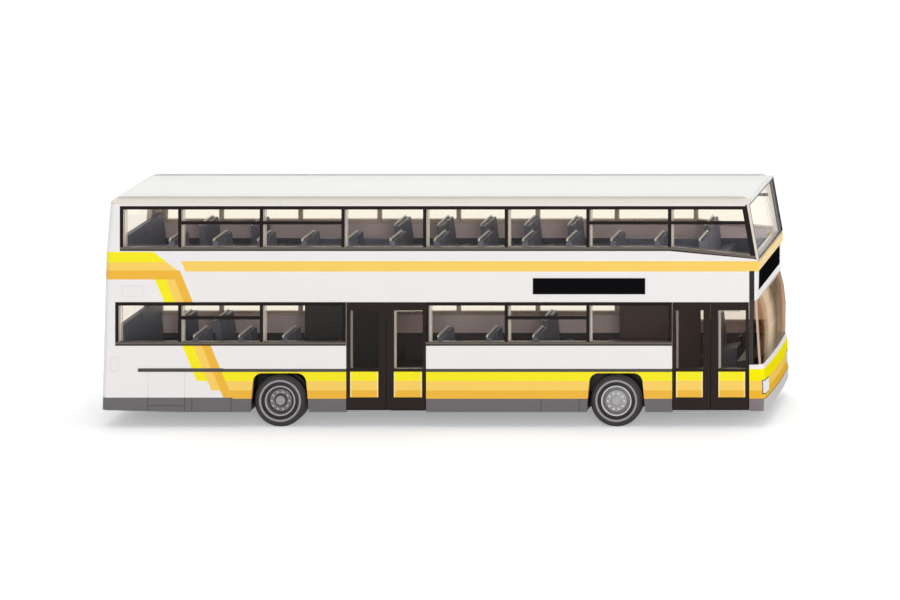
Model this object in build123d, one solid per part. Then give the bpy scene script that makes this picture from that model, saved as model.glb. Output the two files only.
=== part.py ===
"""Scale model of a double decker city bus, about 1:87, as an assembly of moulded pieces.

Frame: +X to the front of the bus, +Y to its left, +Z up. The origin is on the floor, under the middle of
the bus. The doors are on the right side, at -Y. All sizes are millimetres on the model.
"""
from build123d import *
import math
import os

# Overall size and walls
LENGTH = 129.5
WIDTH = 28.7
HEIGHT = 44.9
WALL = 1.0
FIT_GAP = 0.12          # between moulded pieces that fit together


def along(share):
    """Distance along the bus, as thousandths of its length."""
    return share * LENGTH / 1000


def across_share(share):
    """Distance across the bus, as thousandths of its width."""
    return share * WIDTH / 1000


def up(share):
    """Height over the floor, as thousandths of the whole height."""
    return share * HEIGHT / 1000


HALF_W = WIDTH / 2
INNER_W = HALF_W - WALL
REAR_X = -LENGTH / 2

# Levels of the body
SKIRT_Z = up(66.8)      # lower edge of the side walls
SKIRT_RISE = 0.4        # how far that edge climbs at the rear
EAVES_Z = up(964.4)     # joint of side walls and roof
WAIST_BEND_Z = up(746)  # the rear wall bends here
REAR_LEAN_LOW = 0.8     # rear wall leans forward up to the bend
REAR_LEAN_HIGH = 0.8    # and again from the bend to the eaves
REAR_CORNER_R = 1.25

# Window bands
PITCH = along(122.4)      # pillar to pillar
FIRST_PILLAR_X = along(-381.5)
PILLAR_W = 0.66
FRAME_BAR = 0.66        # upper and lower bar of a window frame
HOPPER_BAR = 0.62       # bar under an opening top light
FRAME_DEPTH = 0.3       # pocket for the frame in the side wall
FRAME_PROUD = 0.06
UPPER_HEAD_Z = EAVES_Z - 0.3
UPPER_SILL_Z = UPPER_HEAD_Z - up(193.8)
LOWER_SILL_Z, LOWER_HEAD_Z = up(354.1), up(542.3)
UPPER_REAR_X, LOWER_REAR_X = REAR_X + 3.7, REAR_X + 2.8
UPPER_HOPPER_Z = UPPER_HEAD_Z - up(72.4)
LOWER_HOPPER_Z = LOWER_HEAD_Z - up(67.9)
SILL_DROP = up(35.6)    # the sill falls this far towards the front pillar
DRIVER_SILL_DROP = up(40)  # the driver's window reaches this far lower
GLASS_T = 0.7
PANE_RECESS = 0.7       # pane's face behind the side of the body
PANE_GAP = 0.06         # between a pane and its opening
FRONT_GLASS_ROOM = 1.2  # upper side glazing ends this far behind the slanting front

# Front end, from the joint of the side walls and the front mouldings
JOINT_X = LENGTH / 2 - 3.6
HEADER_X = JOINT_X + 1.6        # flat face over the windscreen
CORNICE_X = JOINT_X + 1.95      # ledge under the upper front window
PILLAR_FOOT_X = JOINT_X + 1.4
PILLAR_HEAD_X = JOINT_X - 0.5
PILLAR_FOOT_Z = UPPER_SILL_Z - SILL_DROP - 0.1
CORNICE_Z = PILLAR_FOOT_Z - up(46.8)
HEADER_Z = LOWER_HEAD_Z + 0.35
FRONT_PILLAR_W = 1.0
SCREEN_CORNER_R = 1.7
PANEL_CORNER_R = 1.0
PANEL_TOP_Z = up(271.7)
BUMPER_TOP_Z = up(122.5)
HEADER_EDGE_R = 0.3
SIGN_HALF_Y = HALF_W - 1.95
SIGN_Z = (HEADER_Z + up(36.7), CORNICE_Z - 0.35)
FRONT_FRAME_T = 0.5     # frame of the upper front window
FRONT_SIDE_BAR = 0.5
FRONT_LEVEL_BAR = 0.22

# Doors
DOOR_HEAD_Z = LOWER_HEAD_Z
DOOR_FOOT_Z = SKIRT_Z + 0.3
DOOR_RECESS = 0.25
DOOR_T = 0.75
DOOR_PANE_RECESS = 0.4  # pane's face behind the face of the leaf
DOOR_STILE = 0.5
DOOR_MEETING = 1.35     # stile where the two leaves meet
DOOR_GLASS_Z = (up(251.7), DOOR_HEAD_Z - 1.65)
DOOR_PANEL_Z = (BUMPER_TOP_Z + 0.2, up(242.8))
FRONT_DOOR_X = (along(356.4), JOINT_X - 0.1)
MIDDLE_DOOR_X = (along(-132.4), along(-13.2))

# Wheels and axles
TYRE_R = 5.07
RIM_R = 2.95
SIDEWALL_RIB_R = (3.72, 4.05)  # raised ring on the tyre's wall
NUTS = 10
FRONT_AXLE_X, REAR_AXLE_X = along(272.2), along(-232.2)
AXLE_R = 0.5
AXLE_RUN = 0.06         # radial play of an axle in its bearing
RIM_FIT = 0.02          # radial play of rim on axle and tyre on rim
WHEEL_INSET = 0.35      # wheel face behind the side of the body
FRONT_TYRE_W = 2.7
REAR_TYRE_W = 4.6
ARCH_R = TYRE_R + 0.48
ARCH_TOP_Z = 2 * TYRE_R + 0.41
ARCH_CORNER_R = 1.8
ARCH_FLARE = 0.5        # an arch is this much narrower on each side at its top
BEARER_T = 1.4
WHEEL_BOX_GAP = 0.5     # between a wheel's back and its box
BEARER_Y = HALF_W - WHEEL_INSET - REAR_TYRE_W - WHEEL_BOX_GAP - BEARER_T / 2 - 1.2

# Decks
CHASSIS_Z = (SKIRT_Z + 0.2, SKIRT_Z + 1.2)
LOWER_FLOOR_Z = (TYRE_R + AXLE_R + 0.73, TYRE_R + AXLE_R + 1.53)
UPPER_FLOOR_Z = (up(565.7), up(565.7) + 0.8)
UPPER_SEAT_TOP_Z, LOWER_SEAT_TOP_Z = up(796), up(378)
SEAT_PITCH = along(66.4)
UPPER_FIRST_SEAT_X = along(-400.4)
UPPER_ROWS = 13
# Where the seats are, in thousandths of the length: the right row has one in every seat pitch above, and the
# left rows leave out the stairs and the middle door
UPPER_LEFT_SEATS = (-388, -309, -90, -24, 42, 109, 175, 385)
LOWER_RIGHT_SEATS = (-364, -296.2, -229.7, 3.5, 76.8, 146.3)
LOWER_LEFT_SEATS = (-421, -364, 136)
AISLE_HALF = across_share(90.6)
SEAT_DEPTH = along(30.1)
SEAT_BACK_T = 1.0
CUSHION_H = up(95.8)
WHEEL_BOX_WALL = 0.6
SIDE_ROOM = 0.2         # between a deck and the glazing
REAR_STAIR_X = (along(-227.5), along(-94.6))
FRONT_STAIR_X = (along(252.9), along(376.4))
STAIR_Y = (across_share(83.6), INNER_W - GLASS_T - 2 * SIDE_ROOM)
STAIR_WALL = 0.7
STEPS = 7
DRIVER_Y = across_share(230)

# Roof
ROOF_SHOULDER_Y = HALF_W - 2.75
ROOF_SHOULDER_Z = EAVES_Z + (HEIGHT - EAVES_Z) / 2
ROOF_LIP = (HEIGHT - EAVES_Z) / 6
ROOF_T = 0.7
# Rear end of the crown, seen from the side
ROOF_BROW_LONG, ROOF_BROW_DEEP = along(30.9), (HEIGHT - EAVES_Z) * 0.8

# Trim on the sides
RAIL_Z, RAIL_H, RAIL_PROUD = up(247.2), 0.38, 0.14
RAIL_REAR_X = along(-444.4)
GROOVE_W, GROOVE_DEPTH = 0.22, 0.16
FLAP_X = (along(-429.7), along(-374.2))
SMALL_FLAPS = (((REAR_X + 1.9, REAR_X + 3.4), (up(245), up(305))),
               ((REAR_X + 4.2, REAR_X + 8.4), (up(568), up(612))))
SKIRT_LINES_X = (along(-363.3), along(-304.7), along(160.3), along(217.4))

SIDE_SIGN_X = (along(147.9), along(316.2))
SIDE_SIGN_Z = (LOWER_HEAD_Z + up(34.5), LOWER_HEAD_Z + up(103.6))

# Rear end
TAIL_LAMP_Y = (HALF_W - 4.95, HALF_W - 2.45)
TAIL_LAMP_Z = (up(142.5), up(213.8))
GRILLE_Y = (across_share(-265), across_share(265))
GRILLE_Z = (up(138.1), up(236.1))
GRILLE_BARS = 6

# Which bays have a top light, from the rear, one letter each
UPPER_TOP_LIGHTS = "nyynnnyy"
LOWER_TOP_LIGHTS = {True: "nynnyn", False: "nynnynny"}


def block(x, y, z):
    """Box between (low, high) pairs."""
    size = [b - a for a, b in (x, y, z)]
    middle = [(a + b) / 2 for a, b in (x, y, z)]
    return Pos(*middle) * Box(*size)


def flat(points):
    """Face through points in space."""
    return Face(Wire.make_polygon([Vector(*p) for p in points], close=True))


def prism_y(points, y_low, y_high):
    """Outline in X and Z, drawn out along Y."""
    return extrude(flat([(x, y_low, z) for x, z in points]), amount=y_high - y_low, dir=(0, 1, 0))


def across(y, x, z, r, width):
    """Cylinder along Y with its near end at y."""
    return Pos(x, y + width / 2, z) * Rot(90, 0, 0) * Cylinder(r, width)


def joined(shapes):
    whole = shapes[0]
    for shape in shapes[1:]:
        whole = whole + shape
    return whole


def write(name, *shapes):
    solids = [s for shape in shapes for s in shape.solids()]
    export_step(Compound(children=solids) if len(solids) > 1 else solids[0], f"parts/{name}.step")


# Outlines

def arc_corner(start, corner, end):
    """Round from start to end, bulging towards corner; a quarter round where the legs are alike."""
    bulge = math.sqrt(2) - 1
    middle = [(a + b) / 2 for a, b in zip(start, end)]
    point = [m + (c - m) * bulge for m, c in zip(middle, corner)]
    return Edge.make_three_point_arc(Vector(*start), Vector(*point), Vector(*end))


def rear_plan(z, rear_x, front_x, inset):
    """Plan of the body at one level: round rear corners, square front."""
    half, r, x = HALF_W - inset, REAR_CORNER_R - inset, rear_x + inset
    p = [(front_x, -half, z), (x + r, -half, z), (x, -half + r, z), (x, half - r, z), (x + r, half, z),
         (front_x, half, z)]
    edges = [Edge.make_line(Vector(*p[0]), Vector(*p[1])), arc_corner(p[1], (x, -half, z), p[2]),
             Edge.make_line(Vector(*p[2]), Vector(*p[3])), arc_corner(p[3], (x, half, z), p[4]),
             Edge.make_line(Vector(*p[4]), Vector(*p[5])), Edge.make_line(Vector(*p[5]), Vector(*p[0]))]
    return Face(Wire(edges))


def front_plan(z, corner_x, bow, corner_r, inset, back_x):
    """Plan of the front end at one level: round corners and a bowed face."""
    half, x = HALF_W - inset, corner_x - inset
    r = max(min(corner_r, corner_x - back_x - 0.15) - inset, 0.15)
    p = [(back_x, half, z), (x - r, half, z), (x, half - r, z), (x, -half + r, z), (x - r, -half, z),
         (back_x, -half, z)]
    edges = [Edge.make_line(Vector(*p[0]), Vector(*p[1])), arc_corner(p[1], (x, half, z), p[2]),
             Edge.make_three_point_arc(Vector(*p[2]), Vector(x + bow, 0, z), Vector(*p[3])),
             arc_corner(p[3], (x, -half, z), p[4]),
             Edge.make_line(Vector(*p[4]), Vector(*p[5])), Edge.make_line(Vector(*p[5]), Vector(*p[0]))]
    return Face(Wire(edges))


def front_body(stations, corner_r, inset):
    """Solid lofted through (z, x at the corner, bow) stations."""
    return loft([front_plan(z, x, bow, corner_r, inset, JOINT_X) for z, x, bow in stations], ruled=True)


def front_shell(stations, corner_r, wall):
    """Hollow front moulding."""
    return front_body(stations, corner_r, 0) - front_body(stations, corner_r, wall)


def pillar_line(z):
    """X of the slanting front edge of the upper side wall."""
    share = (z - PILLAR_FOOT_Z) / (EAVES_Z - PILLAR_FOOT_Z)
    return PILLAR_FOOT_X + (PILLAR_HEAD_X - PILLAR_FOOT_X) * share


# Window openings, as outlines in X and Z

def bay(x_low, x_high, sill, head):
    return [(x_low, sill), (x_high, sill), (x_high, head), (x_low, head)]


def pillars(first, last):
    return [FIRST_PILLAR_X + PITCH * i for i in range(first, last + 1)]


def bays_between(edges, sill, head):
    """Openings between pillar middles; the outer edges are frame bars already."""
    half = PILLAR_W / 2
    return [bay(a + half, b - half, sill + FRAME_BAR, head - FRAME_BAR) for a, b in zip(edges, edges[1:])]


def upper_outline():
    front_sill = UPPER_SILL_Z - SILL_DROP
    return [(UPPER_REAR_X, UPPER_SILL_Z), (pillars(6, 6)[0], UPPER_SILL_Z),
            (pillar_line(front_sill), front_sill), (pillar_line(UPPER_HEAD_Z), UPPER_HEAD_Z),
            (UPPER_REAR_X, UPPER_HEAD_Z)]


def upper_bays():
    half = PILLAR_W / 2
    row = bays_between([UPPER_REAR_X + half] + pillars(0, 6), UPPER_SILL_Z, UPPER_HEAD_Z)
    low, high = UPPER_SILL_Z + FRAME_BAR, UPPER_HEAD_Z - FRAME_BAR
    foot = low - SILL_DROP
    front = [(pillars(6, 6)[0] + half, low), (pillar_line(foot) - FRONT_PILLAR_W, foot),
             (pillar_line(high) - FRONT_PILLAR_W, high), (pillars(6, 6)[0] + half, high)]
    return row + [front]


def lower_runs(right):
    """Pillar lines of each unbroken run of lower windows on one side."""
    half = PILLAR_W / 2
    rear = [LOWER_REAR_X + half] + pillars(0, 1)
    if right:
        middle = [MIDDLE_DOOR_X[1] + half] + pillars(4, 5) + [FRONT_DOOR_X[0] - half]
        return [rear + [MIDDLE_DOOR_X[0] - half], middle]
    return [rear + pillars(2, 6) + [JOINT_X - half]]


def stepped(x_low, x_high, step_x):
    """Outline of a lower run whose sill steps down at step_x, or of a level one where that is None."""
    if step_x is None:
        return bay(x_low, x_high, LOWER_SILL_Z, LOWER_HEAD_Z)
    low = LOWER_SILL_Z - DRIVER_SILL_DROP
    return [(x_low, LOWER_SILL_Z), (step_x, LOWER_SILL_Z), (step_x, low), (x_high, low),
            (x_high, LOWER_HEAD_Z), (x_low, LOWER_HEAD_Z)]


def lower_outlines(right, grow):
    """Outline of each lower run, drawn grow beyond its outer pillar lines."""
    return [stepped(run[0] - grow, run[-1] + grow, None if right else run[-2] - PILLAR_W / 2)
            for run in lower_runs(right)]


def lower_bays(right):
    bays = [b for run in lower_runs(right) for b in bays_between(run, LOWER_SILL_Z, LOWER_HEAD_Z)]
    if not right:
        (x_low, sill), (x_high, head) = bays[-1][0], bays[-1][2]
        bays[-1] = bay(x_low, x_high, sill - DRIVER_SILL_DROP, head)
    return bays


def rear_windows():
    """Outlines in Y and Z of the two rear windows with their frames."""
    half = HALF_W - REAR_CORNER_R - 0.6
    return [(half, UPPER_SILL_Z, UPPER_HEAD_Z - 0.6), (half, LOWER_SILL_Z, LOWER_HEAD_Z)]


def rear_face_x(z):
    """X of the rear wall's outer face."""
    if z <= WAIST_BEND_Z:
        return REAR_X + REAR_LEAN_LOW * (z - SKIRT_Z) / (WAIST_BEND_Z - SKIRT_Z)
    return REAR_X + REAR_LEAN_LOW + REAR_LEAN_HIGH * (z - WAIST_BEND_Z) / (EAVES_Z - WAIST_BEND_Z)


# Body shell: both side walls and the rear wall in one moulding

def arch_cutter(axle_x):
    foot, crown = ARCH_R + ARCH_FLARE / 2, ARCH_R - ARCH_FLARE
    outline = [(axle_x - foot, SKIRT_Z - 1), (axle_x + foot, SKIRT_Z - 1), (axle_x + crown, ARCH_TOP_Z),
               (axle_x - crown, ARCH_TOP_Z)]
    cutter = prism_y(outline, -HALF_W - 1, HALF_W + 1)
    top = cutter.edges().filter_by(Axis.Y).group_by(Axis.Z)[-1]
    return fillet(top, ARCH_CORNER_R)


def groove_lines():
    """Engraved lines on each side: upright ones (x, z low, z high) and level ones (x low, x high, z)."""
    upright = [(x, SKIRT_Z, RAIL_Z) for x in FLAP_X] + [(x, SKIRT_Z, BUMPER_TOP_Z) for x in SKIRT_LINES_X]
    level = [(*FLAP_X, (SKIRT_Z + BUMPER_TOP_Z) / 2)]
    for x, z in SMALL_FLAPS:
        upright += [(x[0], z[0], z[1]), (x[1], z[0], z[1])]
        level += [(x[0], x[1], z[0]), (x[0], x[1], z[1])]
    return upright, level


def body_shell():
    levels = [(SKIRT_Z, REAR_X), (WAIST_BEND_Z, rear_face_x(WAIST_BEND_Z)), (EAVES_Z, rear_face_x(EAVES_Z))]
    front = PILLAR_FOOT_X
    outer = loft([rear_plan(z, x, front, 0) for z, x in levels], ruled=True)
    inner = loft([rear_plan(z, x, front, WALL) for z, x in levels], ruled=True)
    shell = outer - inner
    slant = [(JOINT_X, SKIRT_Z - 1), (front + 2, SKIRT_Z - 1), (front + 2, EAVES_Z + 1),
             (pillar_line(EAVES_Z + 1), EAVES_Z + 1), (pillar_line(PILLAR_FOOT_Z), PILLAR_FOOT_Z),
             (JOINT_X, PILLAR_FOOT_Z)]
    cuts = [prism_y(slant, -HALF_W - 1, HALF_W + 1)]
    rise = [(REAR_X - 1, SKIRT_Z - 1), (pillars(0, 0)[0], SKIRT_Z - 1), (pillars(0, 0)[0], SKIRT_Z),
            (REAR_X, SKIRT_Z + SKIRT_RISE), (REAR_X - 1, SKIRT_Z + SKIRT_RISE)]
    cuts.append(prism_y(rise, -HALF_W - 1, HALF_W + 1))
    for right in (True, False):
        near, far = (-HALF_W - 1, -INNER_W + 0.5) if right else (INNER_W - 0.5, HALF_W + 1)
        pocket = (-HALF_W - 1, -HALF_W + FRAME_DEPTH) if right else (HALF_W - FRAME_DEPTH, HALF_W + 1)
        cuts += [prism_y(b, near, far) for b in upper_bays() + lower_bays(right)]
        cuts += [prism_y(o, *pocket) for o in [upper_outline()] + lower_outlines(right, PILLAR_W / 2)]
        groove = (-HALF_W - 1, -HALF_W + GROOVE_DEPTH) if right else (HALF_W - GROOVE_DEPTH, HALF_W + 1)
        upright, level = groove_lines()
        w = GROOVE_W / 2
        cuts += [block((x - w, x + w), groove, (a - w, b + w)) for x, a, b in upright]
        cuts += [block((a - w, b + w), groove, (z - w, z + w)) for a, b, z in level]
    through = (-HALF_W - 1, -INNER_W + 0.5)
    for door in (FRONT_DOOR_X, MIDDLE_DOOR_X):
        cuts.append(block((door[0], door[1] + 0.1), through, (SKIRT_Z - 1, DOOR_HEAD_Z)))
    for half, sill, head in rear_windows():
        bar = FRAME_BAR
        cuts.append(block((REAR_X - 1, REAR_X + 4), (-half + bar, half - bar), (sill + bar, head - bar)))
        cuts.append(rear_slab(half, sill, head, -1, FRAME_DEPTH))
    for axle_x in (FRONT_AXLE_X, REAR_AXLE_X):
        cuts.append(arch_cutter(axle_x))
    for cut in cuts:
        shell = shell - cut
    return shell


def rear_slab(half, sill, head, out, depth):
    """Slab parallel to the leaning rear wall, from out (negative is outside) to depth."""
    ends = [(rear_face_x(sill) + out, sill), (rear_face_x(sill) + depth, sill),
            (rear_face_x(head) + depth, head), (rear_face_x(head) + out, head)]
    return prism_y(ends, -half, half)


# Window frames and glass

def frame_lattice(outlines, openings, top_lights, hopper_z, right):
    """Black window frames of one side: bars round every pane, with a bar under each top light."""
    y = (HALF_W - FRAME_DEPTH, HALF_W + FRAME_PROUD)
    if right:
        y = (-y[1], -y[0])
    whole = []
    for outline in outlines:
        piece = prism_y(outline, *y)
        for opening in openings:
            piece = piece - prism_y(opening, y[0] - 1, y[1] + 1)
        whole.append(piece)
    whole = joined(whole)
    for opening, letter in zip(openings, top_lights):
        if letter == "y":
            bar = block((min(x for x, z in opening), max(x for x, z in opening)), y,
                        (hopper_z - HOPPER_BAR / 2, hopper_z + HOPPER_BAR / 2))
            whole = whole + (bar & prism_y(opening, *y))
    return whole


def shrunk(outline, gap):
    """Outline moved inwards by gap; outlines here are convex and run anticlockwise."""
    lines = []
    for (x0, z0), (x1, z1) in zip(outline, outline[1:] + outline[:1]):
        n = math.hypot(x1 - x0, z1 - z0)
        nx, nz = -(z1 - z0) / n, (x1 - x0) / n
        lines.append(((x0 + nx * gap, z0 + nz * gap), (x1 - x0, z1 - z0)))
    result = []
    for (p, d), (q, e) in zip(lines[-1:] + lines[:-1], lines):
        t = ((q[0] - p[0]) * e[1] - (q[1] - p[1]) * e[0]) / (d[0] * e[1] - d[1] * e[0])
        result.append((p[0] + d[0] * t, p[1] + d[1] * t))
    return result


def glazing(outline, openings, right):
    """Clear strip inside the wall, with a raised pane in every opening."""
    sheet = (-INNER_W, -INNER_W + GLASS_T) if right else (INNER_W - GLASS_T, INNER_W)
    pane = (-HALF_W + PANE_RECESS, -INNER_W) if right else (INNER_W, HALF_W - PANE_RECESS)
    strip = prism_y(outline, *sheet)
    for opening in openings:
        strip = strip + prism_y(shrunk(opening, PANE_GAP), *pane)
    return strip


def upper_strip():
    front_sill = UPPER_SILL_Z - SILL_DROP + 0.4
    return [(UPPER_REAR_X, UPPER_SILL_Z), (pillars(6, 6)[0], UPPER_SILL_Z),
            (pillar_line(front_sill) - FRONT_GLASS_ROOM, front_sill),
            (pillar_line(UPPER_HEAD_Z) - FRONT_GLASS_ROOM, UPPER_HEAD_Z), (UPPER_REAR_X, UPPER_HEAD_Z)]


# Roof

def roof_side(rear, front):
    """Side view of the roof with its rounded rear brow, drawn out over the whole width."""
    top, low = HEIGHT + FIT_GAP, EAVES_Z - FIT_GAP
    p = [(rear, low), (rear, top - ROOF_BROW_DEEP), (rear + ROOF_BROW_LONG, top), (front, top), (front, low)]
    p = [(x, -HALF_W - 1, z) for x, z in p]
    lines = [Edge.make_line(Vector(*a), Vector(*b)) for a, b in (p[0:2], p[2:4], p[3:5], (p[4], p[0]))]
    brow = arc_corner(p[1], (rear, p[0][1], top), p[2])
    outline = Face(Wire([lines[0], brow] + lines[1:]))
    return extrude(outline, amount=WIDTH + 2, dir=(0, 1, 0))


def roof():
    """Crowned roof with a sloping shoulder along each side, hollow underneath."""
    crown = Edge.make_three_point_arc(Vector(0, ROOF_SHOULDER_Y, ROOF_SHOULDER_Z), Vector(0, 0, HEIGHT),
                                      Vector(0, -ROOF_SHOULDER_Y, ROOF_SHOULDER_Z))
    rim = [(-ROOF_SHOULDER_Y, ROOF_SHOULDER_Z), (-HALF_W, EAVES_Z + ROOF_LIP), (-HALF_W, EAVES_Z),
           (HALF_W, EAVES_Z), (HALF_W, EAVES_Z + ROOF_LIP), (ROOF_SHOULDER_Y, ROOF_SHOULDER_Z)]
    sides = [Edge.make_line(Vector(0, *a), Vector(0, *b)) for a, b in zip(rim, rim[1:])]
    section = Face(Wire([crown] + sides))
    long = Pos(REAR_X, 0, 0) * extrude(section, amount=LENGTH, dir=(1, 0, 0))
    rear = rear_face_x(EAVES_Z)
    outline = rear_plan(EAVES_Z, rear, pillar_line(EAVES_Z) + 0.5, 0)
    plan = extrude(outline, amount=HEIGHT - EAVES_Z + 1, dir=(0, 0, 1))
    shape = long & plan & roof_side(rear, LENGTH / 2)
    inner = block((rear + WALL + GLASS_T, PILLAR_HEAD_X - 0.6), (-INNER_W + GLASS_T, INNER_W - GLASS_T),
                  (EAVES_Z - 1, HEIGHT - ROOF_T - 0.35))
    return shape - inner


# Front end

# (height, X of the face at the corners, bow of the face) from below
BUMPER_STATIONS = ((SKIRT_Z + 0.2, LENGTH / 2 - 0.5, 0.4), (BUMPER_TOP_Z, LENGTH / 2 - 0.4, 0.4))
PANEL_STATIONS = ((BUMPER_TOP_Z, LENGTH / 2 - 0.5, 0.4), (PANEL_TOP_Z - 1.1, LENGTH / 2 - 0.65, 0.4),
                  (PANEL_TOP_Z, LENGTH / 2 - 1.0, 0.3))
SCREEN_STATIONS = ((PANEL_TOP_Z, LENGTH / 2 - 0.95, 0.25), (PANEL_TOP_Z + up(140.3), LENGTH / 2 - 0.85, 0.3),
                   (HEADER_Z - up(60.1), LENGTH / 2 - 1.25, 0.3), (HEADER_Z, LENGTH / 2 - 2.0, 0.2))
HEADLIGHT_Y, HEADLIGHT_W = HALF_W - 1.85, 3.1
HEADLIGHT_Z = (BUMPER_TOP_Z + up(24.5), BUMPER_TOP_Z + up(78))


def front_panel():
    panel = front_shell(PANEL_STATIONS, PANEL_CORNER_R, WALL)
    for y in (-HEADLIGHT_Y, HEADLIGHT_Y):
        panel = panel - headlight_body(y, FIT_GAP)
    return panel


def headlight_body(y, grow=0.0):
    w = HEADLIGHT_W / 2 + grow
    z = (HEADLIGHT_Z[0] - grow, HEADLIGHT_Z[1] + grow)
    return block((JOINT_X + 1.9, JOINT_X + 10), (y - w, y + w), z)


def headlights():
    face = front_body([(z, x + 0.1, bow) for z, x, bow in PANEL_STATIONS], PANEL_CORNER_R, 0)
    return [headlight_body(y) & face for y in (-HEADLIGHT_Y, HEADLIGHT_Y)]


def front_header():
    """Front panel over the windscreen: flat sign field and a ledge under the upper window."""
    profile = [(JOINT_X, HEADER_Z), (HEADER_X - 0.1, HEADER_Z), (HEADER_X, CORNICE_Z - 0.2),
               (CORNICE_X, CORNICE_Z), (CORNICE_X, PILLAR_FOOT_Z - 0.5), (PILLAR_FOOT_X, PILLAR_FOOT_Z),
               (JOINT_X, PILLAR_FOOT_Z)]
    header = prism_y(profile, -HALF_W, HALF_W)
    ends = [e for e in header.edges() if abs(abs(e.center().Y) - HALF_W) < 0.01]
    upright = [e for e in ends if e.length > 1.5 and abs(e.tangent_at(0.5).Z) > 0.9]
    header = fillet([e for e in upright if e.center().X > JOINT_X + 0.5], HEADER_EDGE_R)
    return header - sign_field(-0.4, FIT_GAP)


def sign_field(depth, grow=0.0):
    return block((HEADER_X + depth, HEADER_X + 1), (-SIGN_HALF_Y - grow, SIGN_HALF_Y + grow),
                 (SIGN_Z[0] - grow, SIGN_Z[1] + grow))


def front_sign():
    return block((HEADER_X - 0.4, HEADER_X - 0.02), (-SIGN_HALF_Y, SIGN_HALF_Y), SIGN_Z)


def leaning_plate(back, thick, half, z_low, z_high):
    """Plate parallel to the slanting upper front, its back face that far behind the slant."""
    ends = [(pillar_line(z_low) - back, z_low), (pillar_line(z_low) - back + thick, z_low),
            (pillar_line(z_high) - back + thick, z_high), (pillar_line(z_high) - back, z_high)]
    return prism_y(ends, -half, half)


def upper_front_frame():
    bar = FRONT_LEVEL_BAR
    plate = leaning_plate(0, FRONT_FRAME_T, HALF_W, PILLAR_FOOT_Z, EAVES_Z)
    return plate - leaning_plate(3, 6, HALF_W - FRONT_SIDE_BAR, PILLAR_FOOT_Z + bar, EAVES_Z - bar)


def upper_front_glass():
    half = INNER_W - GLASS_T - FIT_GAP
    back = leaning_plate(FIT_GAP + GLASS_T, GLASS_T, half, PILLAR_FOOT_Z + FIT_GAP, EAVES_Z - FIT_GAP)
    low, high = PILLAR_FOOT_Z + FRONT_LEVEL_BAR + PANE_GAP, EAVES_Z - FRONT_LEVEL_BAR - PANE_GAP
    neck = leaning_plate(FIT_GAP, 2 * FIT_GAP, half, low, high)
    raised = leaning_plate(-0.02, FRONT_FRAME_T - 0.12, HALF_W - FRONT_SIDE_BAR - PANE_GAP, low, high)
    return joined([back, neck, raised])


# Doors

def leaves(door_x):
    """(low, high) of the two leaves of a door."""
    middle = (door_x[0] + door_x[1]) / 2
    return [(door_x[0] + FIT_GAP, middle - 0.05), (middle + 0.05, door_x[1] - FIT_GAP)]


def leaf_opening(leaf, first, z):
    left, right = (DOOR_STILE, DOOR_MEETING) if first else (DOOR_MEETING, DOOR_STILE)
    return (leaf[0] + left, leaf[1] - right), z


def door_leaves(door_x):
    y = (-HALF_W + DOOR_RECESS, -HALF_W + DOOR_RECESS + DOOR_T)
    made = []
    for first, leaf in zip((True, False), leaves(door_x)):
        body = block(leaf, y, (DOOR_FOOT_Z, DOOR_HEAD_Z - FIT_GAP))
        x, z = leaf_opening(leaf, first, DOOR_GLASS_Z)
        body = body - block(x, (y[0] - 1, y[1] + 1), z)
        x, z = leaf_opening(leaf, first, DOOR_PANEL_Z)
        made.append(body - block(x, (y[0] - 1, y[0] + 0.35), z))
    return made


def door_panels(door_x):
    y = (-HALF_W + DOOR_RECESS - 0.05, -HALF_W + DOOR_RECESS + 0.35)
    made = []
    for first, leaf in zip((True, False), leaves(door_x)):
        x, z = leaf_opening(leaf, first, DOOR_PANEL_Z)
        made.append(block((x[0] + FIT_GAP, x[1] - FIT_GAP), y, (z[0] + FIT_GAP, z[1] - FIT_GAP)))
    return made


def door_glass(door_x):
    y = (-HALF_W + DOOR_RECESS + DOOR_PANE_RECESS, -HALF_W + DOOR_RECESS + DOOR_T)
    made = []
    for first, leaf in zip((True, False), leaves(door_x)):
        x, z = leaf_opening(leaf, first, DOOR_GLASS_Z)
        made.append(block((x[0] + PANE_GAP, x[1] - PANE_GAP), y, (z[0] + PANE_GAP, z[1] - PANE_GAP)))
    return made


# Decks with their seats

def seat(x, y_low, y_high, floor_z, top_z):
    """Double seat facing forward: solid base, sloping cushion, reclined back split between two places."""
    h = top_z - floor_z
    outline = [(0, 0), (SEAT_DEPTH, 0), (SEAT_DEPTH + 0.2, CUSHION_H), (SEAT_BACK_T + 0.3, CUSHION_H - 0.4),
               (SEAT_BACK_T - 0.4, h), (-0.4, h)]
    body = prism_y([(x + px, floor_z + pz) for px, pz in outline], y_low, y_high)
    middle = (y_low + y_high) / 2
    gap = block((x - 1, x + SEAT_BACK_T + 1), (middle - 0.25, middle + 0.25), (top_z - 2.2, top_z + 1))
    return body - gap


def seat_row(x_list, side, floor_z, top_z):
    """Seats at each X on one side of the aisle, side being 1 on the left and -1 on the right."""
    low, high = sorted((side * AISLE_HALF, side * (INNER_W - GLASS_T - 0.5)))
    return [seat(x, low, high, floor_z, top_z) for x in x_list]


def wheel_boxes(axle_x, grow):
    """Outsides of the boxes over the two wheels of one axle."""
    t = WHEEL_BOX_WALL + grow
    x = (axle_x - ARCH_R - 0.1 - t, axle_x + ARCH_R + 0.1 + t)
    depth = HALF_W - WHEEL_INSET - wheel_width(axle_x) - WHEEL_BOX_GAP - t
    edge = INNER_W - GLASS_T - SIDE_ROOM + grow
    z = (LOWER_FLOOR_Z[0] - grow, ARCH_TOP_Z + 0.1 + t)
    return [block(x, (-edge, -depth), z), block(x, (depth, edge), z)]


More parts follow.
